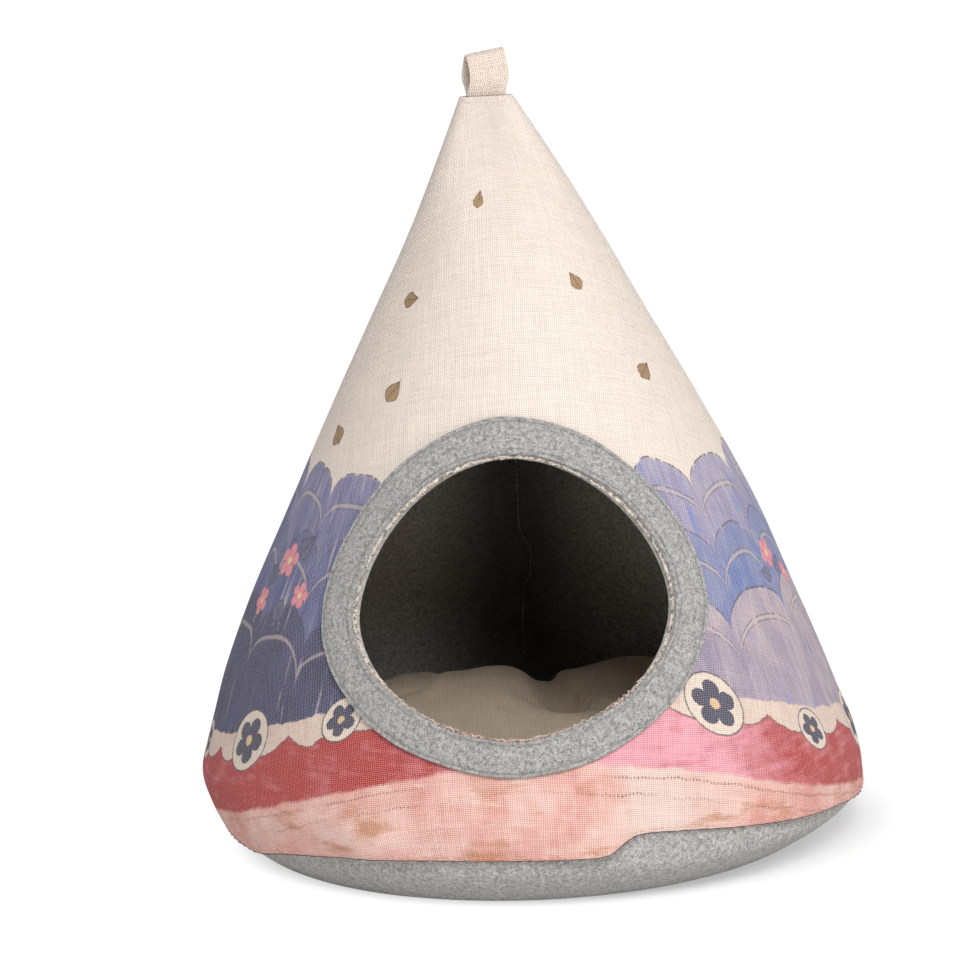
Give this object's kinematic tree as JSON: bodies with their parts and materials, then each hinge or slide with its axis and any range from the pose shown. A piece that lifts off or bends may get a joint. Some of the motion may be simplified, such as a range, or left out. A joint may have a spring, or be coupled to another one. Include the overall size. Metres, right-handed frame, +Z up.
{
  "type": "cat teepee",
  "caption": "Free-standing cone-shaped cat house of linen and stiff felt, with a round doorway, a felt base, a top loop and a loose cushion inside.",
  "frame": {"origin": "on the floor, under the middle of the part's box", "axes": "+Z up from the floor through the loop, -Y the way the doorway faces, +X to the right as seen from the front"},
  "size_m": [0.4015, 0.4017, 0.4784],
  "materials": {
    "printed_linen": "plain woven linen with a soft printed wash",
    "grey_felt": "pressed grey melange felt",
    "strap_linen": "folded woven linen",
    "cushion_linen": "plain woven beige linen"
  },
  "bodies": {
    "root": {"outer_cover": "printed_linen", "felt_lining": "grey_felt", "doorway_ring": "grey_felt", "felt_base": "grey_felt", "hang_loop": "strap_linen", "cushion": "cushion_linen"}
  },
  "joints": []
}
